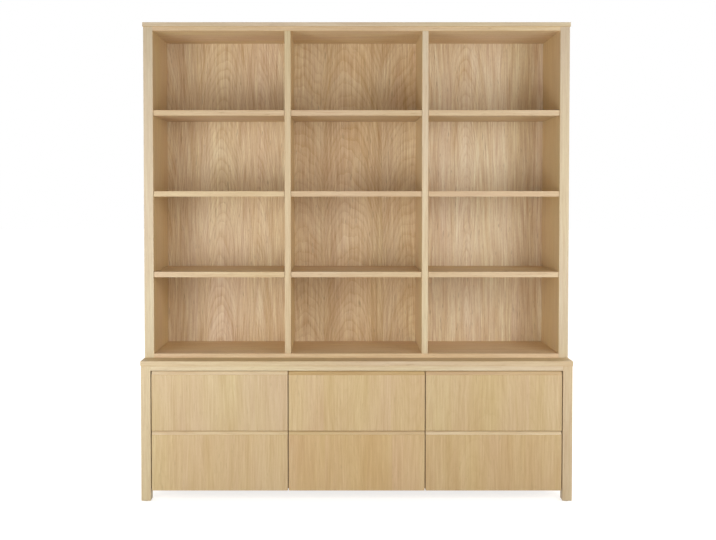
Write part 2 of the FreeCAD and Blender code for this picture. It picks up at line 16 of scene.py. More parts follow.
import bmesh
import bpy
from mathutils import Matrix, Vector


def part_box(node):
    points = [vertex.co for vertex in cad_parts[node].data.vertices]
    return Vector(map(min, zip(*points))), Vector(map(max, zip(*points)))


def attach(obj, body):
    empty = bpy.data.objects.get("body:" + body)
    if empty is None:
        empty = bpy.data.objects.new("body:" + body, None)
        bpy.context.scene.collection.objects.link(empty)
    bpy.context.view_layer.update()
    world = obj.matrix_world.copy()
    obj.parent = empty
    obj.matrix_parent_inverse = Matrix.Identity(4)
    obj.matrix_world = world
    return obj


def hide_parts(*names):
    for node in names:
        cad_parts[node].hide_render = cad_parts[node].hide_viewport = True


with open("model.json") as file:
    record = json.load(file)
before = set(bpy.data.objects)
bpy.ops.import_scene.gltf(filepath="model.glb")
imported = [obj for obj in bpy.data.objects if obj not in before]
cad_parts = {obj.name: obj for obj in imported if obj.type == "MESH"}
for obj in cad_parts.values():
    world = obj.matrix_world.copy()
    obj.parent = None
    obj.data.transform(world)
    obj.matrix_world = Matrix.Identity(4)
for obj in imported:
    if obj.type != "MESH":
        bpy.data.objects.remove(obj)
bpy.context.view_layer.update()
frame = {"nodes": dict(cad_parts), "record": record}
record = frame["record"]
body_of_node = {}
for body, members in record["behaviour"]["bodies"].items():
    for member in members:
        body_of_node[member] = body
finish_of_node = {part["node"]: part["material_slot"] for part in record["subparts"]}

# %% [markdown]
# ## The camera
#
# The photograph is a straight front view from about 4.2 m, at the height of the lower shelves. The
# verticals stay parallel in it, which a photographer gets by keeping the camera level and shifting
# the lens. Blender's camera has the same shift, but a large one would push the bookcase out of the
# picture in views from other sides. So the shift stays small, and the camera is turned down by about
# a degree and a half for the rest of the framing.

# %% Camera
PHOTO_WIDTH = 716
SENSOR_WIDTH = 36.0
FOCAL_LENGTH_IN_PIXELS = 948.4
CAMERA_PLACE = (-0.0773, -4.1562, 1.2844)
CAMERA_PITCH_DOWN = math.radians(1.533)
CAMERA_SHIFT = (0.0277, -0.07)
FARTHEST_SEEN = 60
QUARTER_TURN = math.radians(90)


def add_object(name, data):
    """A new object, linked to the scene."""
    made = bpy.data.objects.new(name, data)
    bpy.context.scene.collection.objects.link(made)
    return made


camera_data = bpy.data.cameras.new("photo_camera")
camera_data.sensor_fit = "HORIZONTAL"
camera_data.sensor_width = SENSOR_WIDTH
camera_data.lens = FOCAL_LENGTH_IN_PIXELS / PHOTO_WIDTH * SENSOR_WIDTH
camera_data.shift_x, camera_data.shift_y = CAMERA_SHIFT
camera_data.clip_end = FARTHEST_SEEN
camera = add_object("photo_camera", camera_data)
camera.location = CAMERA_PLACE
camera.rotation_euler = (QUARTER_TURN - CAMERA_PITCH_DOWN, 0, 0)
bpy.context.scene.camera = camera
print("lens", round(camera_data.lens, 1), "mm")

# %% [markdown]
# ## Helpers for node trees
#
# Shader groups and geometry trees are both made of nodes and links. Short helpers keep the recipes
# below readable: put adds a node and fills its inputs, new_tree makes a group with named sockets, and
# the others stand for nodes that the recipes use often. An input takes either a plain value or
# another node's output. Where several sockets of a node share one label, they are picked by number.


# %% Node helpers
def put(tree, kind, fill=None, **settings):
    """Add a node, set its options, then fill or link its inputs by name or number."""
    made = tree.nodes.new(kind)
    for option, value in settings.items():
        setattr(made, option, value)
    for key, value in (fill or {}).items():
        if isinstance(value, bpy.types.NodeSocket):
            tree.links.new(value, made.inputs[key])
        else:
            made.inputs[key].default_value = value
    return made


def new_tree(name, kind, takes, gives):
    """A node group with named inputs, given as (name, socket type, value), and named outputs."""
    tree = bpy.data.node_groups.new(name, kind)
    for label, socket, value in takes:
        made = tree.interface.new_socket(label, in_out="INPUT", socket_type=socket)
        if value is not None:
            made.default_value = value
    for label, socket in gives:
        tree.interface.new_socket(label, in_out="OUTPUT", socket_type=socket)
    given = tree.nodes.new("NodeGroupInput").outputs
    result = tree.nodes.new("NodeGroupOutput").inputs
    return tree, given, result


def maths(tree, operation, *values):
    """One Math node's output."""
    return put(tree, "ShaderNodeMath", dict(enumerate(values)), operation=operation).outputs[0]


def times(tree, value, factor):
    """A value multiplied by another one."""
    return maths(tree, "MULTIPLY", value, factor)


def swing(tree, chance, width):
    """A chance between zero and one, made to swing about zero."""
    return times(tree, maths(tree, "SUBTRACT", chance, 0.5), width)


def vectors(tree, operation, *values):
    """One Vector Math node's first output."""
    made = put(tree, "ShaderNodeVectorMath", dict(enumerate(values)), operation=operation)
    return made.outputs[0]


def mixed_color(tree, share, first, second, **settings):
    """Two colours mixed by a share: inputs 6 and 7 and output 2 are the Mix node's colours."""
    fill = {0: share, 6: first, 7: second}
    return put(tree, "ShaderNodeMix", fill, data_type="RGBA", **settings).outputs[2]


def channels(tree, node):
    """The three channels of a noise's colour, which serve as three separate chances."""
    return put(tree, "ShaderNodeSeparateColor", {0: node.outputs["Color"]}).outputs


def spread(tree, value, low, high, to_low=0.0, to_high=1.0, smooth=False):
    """Map a value from one range to another, held at both ends."""
    fill = {0: value, 1: low, 2: high, 3: to_low, 4: to_high}
    kind = "SMOOTHSTEP" if smooth else "LINEAR"
    return put(tree, "ShaderNodeMapRange", fill, interpolation_type=kind).outputs[0]


def noise(tree, along, across, depth, detail=2.0, roughness=0.5):
    """A noise texture read at a point whose three coordinates come separately."""
    place = put(tree, "ShaderNodeCombineXYZ", {0: along, 1: across, 2: depth}).outputs[0]
    fill = {"Vector": place, "Scale": 1.0, "Detail": detail, "Roughness": roughness}
    return put(tree, "ShaderNodeTexNoise", fill)


# %% [markdown]
# ## Oak, once for every finish
#
# Oak shows growth rings cut at a slant, which draw nested arches in the middle of a board and
# straight lines at its sides, with fine fibres and short dark pores along them. A flat picture of
# that would repeat and smear round corners. A solid recipe doesn't: the rings are cylinders round a
# heart that leans a little, and each board is a cut through them. Each point only has to know
# where it lies along, across and into its own board, and that comes from a mesh attribute named
# grain. Wide panels are made of leaves of veneer side by side, each cut from its own place. Most of
# what shows on this bookcase is straight: short streaks one or two centimetres apart, with a slow
# drift from golden to rosy across a panel. The arches are mixed in by a share, which is largest on
# the back panels, and a heart that leans more brings their tips closer together.

# %% The oak group
OAK_INPUTS = [
    ("Grain", "NodeSocketVector", None),
    ("Board", "NodeSocketFloat", 0.5),
    # Lift is painted light or shade: it brightens or darkens a whole face.
    ("Lift", "NodeSocketFloat", 0.0),
    ("Pale", "NodeSocketColor", (0.7, 0.56, 0.4, 1)),
    ("Dark", "NodeSocketColor", (0.5, 0.36, 0.22, 1)),
    ("Pore", "NodeSocketColor", (0.3, 0.19, 0.1, 1)),
    ("Leaf Width", "NodeSocketFloat", 0.2),
    ("Heart Depth", "NodeSocketFloat", 0.08),
    ("Heart Lean", "NodeSocketFloat", 0.05),
    ("Ring Width", "NodeSocketFloat", 0.004),
    ("Waviness", "NodeSocketFloat", 0.02),
    ("Streak Width", "NodeSocketFloat", 0.018),
    ("Arches", "NodeSocketFloat", 0.4),
    ("Figure", "NodeSocketFloat", 0.6),
    ("Drift", "NodeSocketFloat", 0.4),
    ("Leaf Change", "NodeSocketFloat", 0.3),
    ("Hue Drift", "NodeSocketFloat", 1.0),
    ("Fibres", "NodeSocketFloat", 0.5),
    ("Pores", "NodeSocketFloat", 0.4),
    ("Warm", "NodeSocketColor", (0.9, 0.84, 0.75, 1)),
]
OAK_OUTPUTS = [
    ("Color", "NodeSocketColor"),
    ("Roughness", "NodeSocketFloat"),
    ("Height", "NodeSocketFloat"),
]
oak, given, result = new_tree("Oak", "ShaderNodeTree", OAK_INPUTS, OAK_OUTPUTS)
along, sideways, inward = put(oak, "ShaderNodeSeparateXYZ", {0: given["Grain"]}).outputs

# %% Leaves of veneer
BOARD_SEED_STEP = 57.0
LEAF_SEED_STEP = 3.7
WAVES_ALONG = 2.4
WAVES_ACROSS = 9.0
WANDER = 1.5

leaf = maths(oak, "ROUND", maths(oak, "DIVIDE", sideways, given["Leaf Width"]))
in_leaf = maths(oak, "SUBTRACT", sideways, times(oak, leaf, given["Leaf Width"]))
by_leaf = times(oak, leaf, LEAF_SEED_STEP)
leaf_seed = maths(oak, "MULTIPLY_ADD", given["Board"], BOARD_SEED_STEP, by_leaf)
chances = channels(oak, put(oak, "ShaderNodeTexWhiteNoise", {"W": leaf_seed}, noise_dimensions="1D"))
wave = noise(oak, times(oak, along, WAVES_ALONG), times(oak, in_leaf, WAVES_ACROSS), leaf_seed)
sway, swell, wander = (swing(oak, part, given["Waviness"]) for part in channels(oak, wave))
across = maths(oak, "MULTIPLY_ADD", wander, WANDER, sideways)

# %% Rings round the heart, which show as arches
HEART_ASIDE = 0.6
STREAKS_IN_A_RING = 0.3
DRIFT_ALONG = 0.9
POROUS_SHARE = 0.6
POROUS_WEIGHT = 0.3

aside = spread(oak, chances[0], 0.0, 1.0, -HEART_ASIDE, HEART_ASIDE)
from_heart = maths(oak, "ADD", in_leaf, times(oak, aside, given["Leaf Width"]))
from_heart = maths(oak, "ADD", from_heart, sway)
started = maths(oak, "ADD", along, chances[1])
lean = maths(oak, "MULTIPLY_ADD", started, given["Heart Lean"], given["Heart Depth"])
into = maths(oak, "ADD", maths(oak, "ADD", lean, inward), swell)
squares = maths(oak, "MULTIPLY_ADD", into, into, maths(oak, "POWER", from_heart, 2.0))
rings = maths(oak, "DIVIDE", maths(oak, "SQRT", squares), given["Ring Width"])
slow_along = times(oak, along, DRIFT_ALONG)
in_rings = times(oak, rings, STREAKS_IN_A_RING)
streak = noise(oak, in_rings, slow_along, leaf_seed, detail=5.0, roughness=0.65).outputs[0]
ring_place = maths(oak, "FRACT", maths(oak, "ADD", rings, streak))
porous = spread(oak, ring_place, 0.0, POROUS_SHARE, 1.0, 0.0, smooth=True)
streaks = times(oak, spread(oak, streak, low=0.36, high=0.64), 1 - POROUS_WEIGHT)
arched = maths(oak, "MULTIPLY_ADD", porous, POROUS_WEIGHT, streaks)

# %% Straight streaks, fibres and pores
STREAKS_ALONG = 3.5
PORES_BETWEEN = 0.3


def fine_marks(side, by_length, by_side, detail, roughness=0.5):
    """Noise stretched along the grain, from its measures in one metre along and across."""
    places = (times(oak, along, by_length), times(oak, side, by_side), times(oak, inward, by_side))
    return noise(oak, *places, detail, roughness).outputs[0]


lines_along = times(oak, along, STREAKS_ALONG)
lines_across = maths(oak, "DIVIDE", across, given["Streak Width"])
lines_inward = maths(oak, "DIVIDE", inward, given["Streak Width"])
lines = noise(oak, lines_along, lines_across, lines_inward, detail=5.0, roughness=0.68).outputs[0]
straight = spread(oak, lines, low=0.34, high=0.66)
arched_by = maths(oak, "SUBTRACT", arched, straight)
figured = maths(oak, "MULTIPLY_ADD", arched_by, given["Arches"], straight)

fibre = fine_marks(across, by_length=6.0, by_side=170.0, detail=4.0, roughness=0.65)
dash = fine_marks(sideways, by_length=60.0, by_side=1300.0, detail=1.0)
fleck = fine_marks(across, by_length=20.0, by_side=150.0, detail=1.0)
pore_room = maths(oak, "MULTIPLY_ADD", porous, 1 - PORES_BETWEEN, PORES_BETWEEN)
fine_pore = times(oak, spread(oak, dash, low=0.56, high=0.66), pore_room)
pore = maths(oak, "MAXIMUM", fine_pore, spread(oak, fleck, low=0.68, high=0.76))

# %% Colour, gloss and relief
PLAIN = (1.0, 1.0, 1.0)
FIBRE_TINT = (1.0, 1.6, 1.95)
ROSY_TINT = (0.0, -0.03, 0.08)
DRIFT_ACROSS = 6.0
BOARD_TONE_STEP = 0.65
MIDDLE_TONE = 0.175
LEAST_ROUGHNESS = 0.40
PORE_ROUGHNESS = 0.12
FIBRE_ROUGHNESS = 0.16
FIBRE_HEIGHT = 0.4

base = mixed_color(oak, times(oak, figured, given["Figure"]), given["Pale"], given["Dark"])
fibre_light = swing(oak, fibre, given["Fibres"])
lit = vectors(oak, "MULTIPLY", base, vectors(oak, "MULTIPLY_ADD", fibre_light, FIBRE_TINT, PLAIN))

slow = channels(oak, noise(oak, slow_along, times(oak, sideways, DRIFT_ACROSS), leaf_seed))
slow_tone, slow_hue = (spread(oak, part, 0.3, 0.7, -1.0, 1.0) for part in slow[:2])
hue_shift = times(oak, slow_hue, given["Hue Drift"])
lit = vectors(oak, "MULTIPLY", lit, vectors(oak, "MULTIPLY_ADD", hue_shift, ROSY_TINT, PLAIN))
# Painted light and shade: the colour is scaled by the face's lift.
fill = {0: lit, "Scale": maths(oak, "ADD", given["Lift"], 1.0)}
lit = put(oak, "ShaderNodeVectorMath", fill, operation="SCALE").outputs[0]

drifted = times(oak, slow_tone, given["Drift"])
by_board = maths(oak, "MULTIPLY_ADD", given["Board"], BOARD_TONE_STEP, drifted)
leaf_tone = swing(oak, chances[2], given["Leaf Change"])
tone = maths(oak, "ADD", maths(oak, "ADD", leaf_tone, MIDDLE_TONE), by_board)
cast = mixed_color(oak, tone, given["Warm"], (*PLAIN, 1), clamp_factor=False)
pore_share = times(oak, pore, given["Pores"])
tinted = mixed_color(oak, pore_share, vectors(oak, "MULTIPLY", lit, cast), given["Pore"])

rough = maths(oak, "MULTIPLY_ADD", pore, PORE_ROUGHNESS, LEAST_ROUGHNESS)
rough = maths(oak, "MULTIPLY_ADD", fibre, FIBRE_ROUGHNESS, rough)
raised = maths(oak, "SUBTRACT", times(oak, fibre, FIBRE_HEIGHT), pore)
for label, socket in (("Color", tinted), ("Roughness", rough), ("Height", raised)):
    oak.links.new(socket, result[label])
print("oak group:", len(oak.nodes), "nodes")

# %% [markdown]
# ## Five oak finishes
#
# The same oak is used as solid wood for posts, rails and tops, as veneer on the wide boards, as
# strongly figured veneer on the thin back panels and as quiet, straight veneer on the drawer fronts.
# The drawer boxes are a paler wood that shows hardly any figure. Five materials could be painted
# separately, but placing one group five times keeps them one family. The matt lacquer's roughness
# comes from the group too, with its small changes.

# %% Oak materials
GRAIN_RELIEF = 0.00025
GRAIN_STRENGTH = 0.5
CORNER_VALUES = (("Grain", "Vector"), ("Board", "Fac"), ("Lift", "Fac"))
finishes = {}


def new_material(name):
    """A material and its node tree, in which the shader already stands."""
    material = bpy.data.materials.new(name)
    material.use_nodes = True
    return material, material.node_tree


def by_label(values):
    """Values keyed by their sockets' labels, from the names used in a call."""
    return {key.replace("_", " ").title(): value for key, value in values.items()}


def link_shader(tree, group, colour, strength, relief):
    """Link a colour and a group's roughness and relief to the tree's shader."""
    fill = {"Height": group.outputs["Height"], "Strength": strength, "Distance": relief}
    bump = put(tree, "ShaderNodeBump", fill)
    shader = tree.nodes["Principled BSDF"]
    tree.links.new(colour, shader.inputs["Base Color"])
    tree.links.new(group.outputs["Roughness"], shader.inputs["Roughness"])
    tree.links.new(bump.outputs["Normal"], shader.inputs["Normal"])
    return shader


def oak_material(name, pale, dark, pore, **values):
    """Add a lacquered wood to the finishes, its figure taken from the oak group."""
    material, tree = new_material(name)
    fill = {"Pale": (*pale, 1), "Dark": (*dark, 1), "Pore": (*pore, 1), **by_label(values)}
    for label, output in CORNER_VALUES:
        kept = put(tree, "ShaderNodeAttribute", attribute_name=label.lower())
        fill[label] = kept.outputs[output]
    group = put(tree, "ShaderNodeGroup", fill, node_tree=oak)
    link_shader(tree, group, group.outputs["Color"], GRAIN_STRENGTH, GRAIN_RELIEF)
    finishes[name] = material


oak_material(
    "solid_oak", pale=(0.709, 0.61, 0.45), dark=(0.567, 0.437, 0.263),
    pore=(0.34, 0.235, 0.13),
    leaf_width=5.0, heart_depth=0.30, heart_lean=0.012, ring_width=0.003, waviness=0.008,
    streak_width=0.012, arches=0.35, figure=0.55, drift=0.15, leaf_change=0.3, hue_drift=0.6,
    fibres=0.40, pores=0.25, warm=(0.92, 0.86, 0.76, 1))
oak_material(
    "oak_veneer_board", pale=(0.74, 0.591, 0.403), dark=(0.56, 0.395, 0.22),
    pore=(0.34, 0.22, 0.12),
    leaf_width=0.17, heart_depth=0.07, heart_lean=0.02, ring_width=0.004, waviness=0.012,
    streak_width=0.015, arches=0.5, figure=0.6, drift=0.2, leaf_change=0.3, hue_drift=0.8,
    fibres=0.45, pores=0.35, warm=(0.90, 0.83, 0.72, 1))
oak_material(
    "oak_back_panel", pale=(0.871, 0.749, 0.565), dark=(0.575, 0.360, 0.153),
    pore=(0.29, 0.18, 0.09),
    leaf_width=0.27, heart_depth=0.05, heart_lean=0.09, ring_width=0.0045, waviness=0.02,
    streak_width=0.014, arches=0.65, figure=0.85, drift=0.15, leaf_change=0.2, hue_drift=0.5,
    fibres=0.85, pores=0.40, warm=(0.90, 0.83, 0.72, 1))
oak_material(
    "oak_drawer_front", pale=(0.709, 0.571, 0.381), dark=(0.539, 0.381, 0.182),
    pore=(0.36, 0.25, 0.13),
    leaf_width=0.28, heart_depth=0.07, heart_lean=0.07, ring_width=0.005, waviness=0.015,
    streak_width=0.022, arches=0.4, figure=0.6, drift=0.2, leaf_change=0.15, hue_drift=0.6,
    fibres=0.40, pores=0.25, warm=(0.86, 0.78, 0.66, 1))
oak_material(
    "drawer_box_wood", pale=(0.78, 0.66, 0.49), dark=(0.66, 0.52, 0.35),
    pore=(0.48, 0.35, 0.22),
    leaf_width=0.09, heart_depth=0.2, heart_lean=0.02, ring_width=0.005, waviness=0.01,
    streak_width=0.02, arches=0.4, figure=0.5, drift=0.2, leaf_change=0.3, hue_drift=0.5,
    fibres=0.20, pores=0.1, warm=(0.95, 0.92, 0.86, 1))
print("oak finishes:", ", ".join(finishes))

# %% [markdown]
# ## Steel and nylon
#
# The runners, pins and screws are zinc-plated steel: bright, slightly cloudy, with fine marks from
# the rollers. The glides are moulded nylon. Both show the same kind of small handling marks, so the
# marks are a group too: cloudy patches and thin scratches, read from Object coordinates because these
# parts have no grain of their own.

# %% Handling marks, steel and nylon
MARK_INPUTS = [
    ("Place", "NodeSocketVector", None),
    ("Cloud Size", "NodeSocketFloat", 0.03),
    ("Base Roughness", "NodeSocketFloat", 0.35),
    ("Cloudiness", "NodeSocketFloat", 0.15),
]
MARK_OUTPUTS = [
    ("Roughness", "NodeSocketFloat"),
    ("Height", "NodeSocketFloat"),
    ("Cloud", "NodeSocketFloat"),
]
SCRATCH_STRETCH = (900, 12, 900)
MARK_RELIEF = 0.0001
MARK_STRENGTH = 0.2

marks, given, result = new_tree("Handling marks", "ShaderNodeTree", MARK_INPUTS, MARK_OUTPUTS)
cloud_scale = maths(marks, "DIVIDE", 1.0, given["Cloud Size"])
fill = {"Vector": given["Place"], "Scale": cloud_scale, "Detail": 4.0}
cloud = put(marks, "ShaderNodeTexNoise", fill).outputs[0]
fill = {"Vector": given["Place"], "Scale": SCRATCH_STRETCH}
stretched = put(marks, "ShaderNodeMapping", fill).outputs[0]
fill = {"Vector": stretched, "Scale": 1.0, "Detail": 2.0}
scratch = put(marks, "ShaderNodeTexNoise", fill).outputs[0]
cloudy, scratched = (swing(marks, mark, given["Cloudiness"]) for mark in (cloud, scratch))
rough = maths(marks, "ADD", given["Base Roughness"], maths(marks, "ADD", cloudy, scratched))
for label, socket in (("Roughness", rough), ("Height", scratch), ("Cloud", cloud)):
    marks.links.new(socket, result[label])


def marked_material(name, clear, clouded, metallic, **values):
    """Add a bare metal or plastic with handling marks to the finishes."""
    material, tree = new_material(name)
    fill = {"Place": put(tree, "ShaderNodeTexCoord").outputs["Object"], **by_label(values)}
    group = put(tree, "ShaderNodeGroup", fill, node_tree=marks)
    colour = mixed_color(tree, group.outputs["Cloud"], (*clear, 1), (*clouded, 1))
    shader = link_shader(tree, group, colour, MARK_STRENGTH, MARK_RELIEF)
    shader.inputs["Metallic"].default_value = metallic
    finishes[name] = material


marked_material(
    "zinc_plated_steel", clear=(0.78, 0.79, 0.80), clouded=(0.58, 0.60, 0.62), metallic=1.0,
    cloud_size=0.02, base_roughness=0.32, cloudiness=0.25)
marked_material(
    "nylon", clear=(0.80, 0.79, 0.76), clouded=(0.72, 0.71, 0.68), metallic=0.0,
    cloud_size=0.01, base_roughness=0.5, cloudiness=0.15)
print("all finishes:", ", ".join(finishes))

# %% [markdown]
# ## From a imported node to a finished board
#
# A real board never has a razor edge: its arrises are eased by about a millimetre, and that thin
# round catches the light and draws the line between two boards. A Bevel modifier on the imported mesh
# would also round every drilled hole, and the smallest hole edge would limit the width everywhere.
# So the imported triangles are merged in a copy, flat faces are joined, and only the long outer edges
# are eased. The same pass writes the grain attribute: each separate board in a node is measured, its
# grain follows its longest side unless told otherwise, and it starts at its own place in the tree.
#
# Boards from one tree still differ in tone. Most get theirs by chance, and the ones that show in the
# photograph have it written in a table. The same goes for the lipping on the fronts of the uprights.
# The slanted strips over the drawers have tones of their own, with painted light and shade that
# differs from drawer to drawer. The narrow face where a strip meets its front gets a dark line. The
# downward front arrises of the cap, the top panel and the base top, and the base top's upper face,
# get painted shade. A second number brightens or darkens a whole face a little by the way it faces,
# without changing its hue: painted light on the wide faces of the uprights and of the top and bottom
# panels, and painted light or shade on some fronts.


# %% Clean copies and eased arrises
WELD_DISTANCE = 0.00001
FLAT_WITHIN = math.radians(0.5)
EASED_ABOVE = math.radians(35)
SMOOTH_BELOW = math.radians(50)
SHORTEST_EASED_EDGE = 0.012
EASING_STEPS = 2


def clean_copy(node):
    """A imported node's mesh with its loose triangles joined into flat faces."""
    packed = frame["nodes"][node].data
    mesh = bmesh.new()
    corners = [mesh.verts.new(vertex.co) for vertex in packed.vertices]
    for face in packed.polygons:
        mesh.faces.new([corners[i] for i in face.vertices])
    bmesh.ops.remove_doubles(mesh, verts=mesh.verts, dist=WELD_DISTANCE)
    bmesh.ops.dissolve_limit(mesh, angle_limit=FLAT_WITHIN, verts=mesh.verts, edges=mesh.edges)
    return mesh


def ease_edges(mesh, arris):
    """Round the long outward edges and mark what stays sharp."""
    eased = []
    for edge in mesh.edges:
        if not edge.is_manifold or not edge.is_convex:
            continue
        if edge.calc_length() > SHORTEST_EASED_EDGE and edge.calc_face_angle() > EASED_ABOVE:
            eased.append(edge)
    bmesh.ops.bevel(mesh, geom=eased, offset=arris, offset_type="OFFSET", segments=EASING_STEPS,
                    profile=0.5, affect="EDGES", clamp_overlap=True)
    for face in mesh.faces:
        face.smooth = True
    for edge in mesh.edges:
        edge.smooth = edge.is_manifold and edge.calc_face_angle() < SMOOTH_BELOW


# %% Tones of the boards that the photograph shows
TONES = {
    "drawer_left_upper_front": 0.7,
    "drawer_centre_upper_front": 0.3,
    "drawer_right_upper_front": 0.2,
    "drawer_left_lower_front": 0.4,
    "drawer_centre_lower_front": -0.3,
    "drawer_right_lower_front": -0.1,
    "hutch_cap": 0.35,
    "hutch_top_panel": 0.5,
    "hutch_bottom_panel": 0.2,
    "hutch_side_left": -1.3,
    "hutch_side_right": -1.1,
    "hutch_divider_left": -1.4,
    "hutch_divider_right": -0.9,
    "hutch_back_left": 1.0,
    "hutch_back_centre": 0.4,
    "hutch_back_right": 1.75,
    "base_top": -0.1,
    "base_front_rail": 0.5,
    "leg_front_left": 0.3,
    "leg_front_right": -0.5,
}
LIPPING_TONES = {
    "hutch_side_left": 2.05,
    "hutch_side_right": 1.65,
    "hutch_divider_left": 1.05,
    "hutch_divider_right": 1.4,
}
# Tones of the slanted strips over the drawers: painted light and shade that differs from drawer to
# drawer.
STRIP_TONES_AND_PAINTED_LIGHT = {
    "drawer_left_upper_front": 2.2,
    "drawer_centre_upper_front": -0.5,
    "drawer_right_upper_front": 0.3,
    "drawer_left_lower_front": 1.6,
    "drawer_centre_lower_front": 0.4,
    "drawer_right_lower_front": 2.2,
}
# Painted light or shade on the front faces of some boards.
FRONT_PAINTED_LIGHT = {
    "hutch_side_left": -0.08,
    "hutch_side_right": -0.085,
    "shelf": -0.07,
    "leg_front_right": -0.03,
    "hutch_back_left": -0.02,
    "hutch_back_right": -0.02,
    "drawer_left_upper_front": -0.05,
    "drawer_right_upper_front": -0.04,
    "drawer_centre_lower_front": 0.05,
}
# A dark line on the narrow face where a strip meets its front, and painted shade on the downward front
# arrises of some boards.
DARK_LINE_TONE = -3.0
# Painted shade on the base top's upper face, under the upper unit.
PAINTED_SHADE_TOP_TONE = -1.3
# Painted light on the wide faces of the uprights and of the top and bottom panels.
PAINTED_LIGHT_LIFT = 0.12
# Boards whose downward front arris gets painted shade: the cap, the top panel and the base top.
PAINTED_SHADE_UNDER_ARRIS = ("hutch_cap", "hutch_top_panel", "base_top")
CROSSWISE = ("hutch_top_panel", "hutch_bottom_panel")
FACES_UP = 0.9
FACES_FRONT = -0.9
FLAT_ON = 0.9
DARK_LINE_LEAST = 0.08
SLANT_LEAST = 0.3
SLANT_MOST = 0.9
LOWER_ARRIS = -0.25


def face_lift(name, normal):
    """How much painted light or shade brightens or darkens a board's wide face, or its front."""
    if normal.y < FACES_FRONT:
        return FRONT_PAINTED_LIGHT.get(name, 0.0)
    upright = name in LIPPING_TONES and abs(normal.x) > FLAT_ON
    level = name in CROSSWISE and abs(normal.z) > FLAT_ON
    return PAINTED_LIGHT_LIFT if upright or level else 0.0


def face_tone(name, normal, banded, value):
    """A face's tone: the board's or lipping's, with painted light, painted shade or a dark line."""
    tone = value
    # Painted light and shade on the slanted strips over the drawers.
    if banded and SLANT_LEAST < normal.z < SLANT_MOST:
        tone = STRIP_TONES_AND_PAINTED_LIGHT.get(name, value)
    if normal.y < FACES_FRONT:
        tone += LIPPING_TONES.get(name, 0.0)
    # A dark line on the narrow face where a strip meets its front.
    if name in STRIP_TONES_AND_PAINTED_LIGHT and DARK_LINE_LEAST < normal.z < SLANT_LEAST:
        tone = DARK_LINE_TONE
    # Painted shade on the base top's upper face.
    if name == "base_top" and normal.z > FACES_UP:
        tone = PAINTED_SHADE_TOP_TONE
    # Painted shade on the downward front arris of these boards.
    if name in PAINTED_SHADE_UNDER_ARRIS and normal.y < LOWER_ARRIS and normal.z < LOWER_ARRIS:
        tone = DARK_LINE_TONE
    return tone


# %% The grain attribute
START_ALONG = 3
START_ACROSS = 0.01
MOST_LEAN = 0.012


def separate_boards(mesh):
    """Lists of faces that hang together, in a fixed order."""
    left = set(mesh.faces)
    boards = []
    for start in mesh.faces:
        if start not in left:
            continue
        left.remove(start)
        board = [start]
        for face in board:
            for edge in face.edges:
                for other in edge.link_faces:
                    if other in left:
                        left.remove(other)
                        board.append(other)
        boards.append(board)
    return boards


def face_axes(order, normal, banded):
    """The axes along, across and into a board, turned where a strip covers its edge."""
    if banded and SLANT_LEAST < normal.z < SLANT_MOST:
        return order[1], order[0], order[2]
    way = [abs(part) for part in normal]
    if banded and way.index(max(way)) == order[0]:
        return order[1], order[2], order[0]
    return order


def lay_grain(mesh, name, along=None, banded=False):
    """Write each corner's place along, across and into its board, and each board's own chance."""
    grain = mesh.loops.layers.float_vector.new("grain")
    chance = mesh.loops.layers.float.new("board")
    lift = mesh.loops.layers.float.new("lift")
    for number, board in enumerate(separate_boards(mesh)):
        pick = random.Random(name + str(number))
        points = [vertex.co for face in board for vertex in face.verts]
        low = Vector(min(point[i] for point in points) for i in range(3))
        high = Vector(max(point[i] for point in points) for i in range(3))
        order = sorted(range(3), key=lambda i: low[i] - high[i])
        if along is not None:
            order.remove(along)
            order.insert(0, along)
        middle = (low + high) / 2
        start_along = pick.uniform(-START_ALONG, START_ALONG)
        start_across = pick.uniform(-START_ACROSS, START_ACROSS)
        start = Vector((start_along, start_across, 0))
        lean = pick.uniform(-MOST_LEAN, MOST_LEAN)
        value = TONES.get(name, pick.random())
        for face in board:
            axes = face_axes(order, face.normal, banded)
            tone = face_tone(name, face.normal, banded, value)
            paler = face_lift(name, face.normal)
            for loop in face.loops:
                place = loop.vert.co - middle
                leaning = place[axes[1]] + place[axes[0]] * lean
                loop[grain] = Vector((place[axes[0]], leaning, place[axes[2]])) + start
                # The tone holds the board's own tone and the painted light and shade of strips and
                # arrises. The lift holds painted light or shade by the face's direction.
                loop[chance] = tone
                loop[lift] = paler


# %% Hand a piece over
def mesh_data(mesh, name):
    """Turn an edit mesh into an object's mesh."""
    data = bpy.data.meshes.new(name)
    mesh.to_mesh(data)
    mesh.free()
    return data


def even_shading(piece):
    """Let the large faces lead the shading, so that they look flat up to their rounded arrises."""
    evener = piece.modifiers.new("even shading", "WEIGHTED_NORMAL")
    evener.keep_sharp = True


def settle(piece, finish, body, stands_for):
    """Turn the evaluated object into a plain mesh and let it ride on its body."""
    bpy.context.view_layer.update()
    depsgraph = bpy.context.evaluated_depsgraph_get()
    plain = bpy.data.meshes.new_from_object(piece.evaluated_get(depsgraph),
                                            preserve_all_data_layers=True, depsgraph=depsgraph)
    piece.modifiers.clear()
    piece.data = plain
    plain.name = piece.name
    plain.materials.clear()
    plain.materials.append(finishes[finish])
    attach(piece, body)
    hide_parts(*stands_for)


# %% [markdown]
# ## The boards
#
# On the posts, backs and drawer fronts the grain stands upright, as in the photograph. The tops,
# rails and shelves have it lengthwise, which is what the longest side gives. The edges of veneered
# boards are covered with a strip whose grain follows the edge, so their faces at the end of the
# grain are turned. The arrises of the solid pieces are eased a little more than the veneered ones.

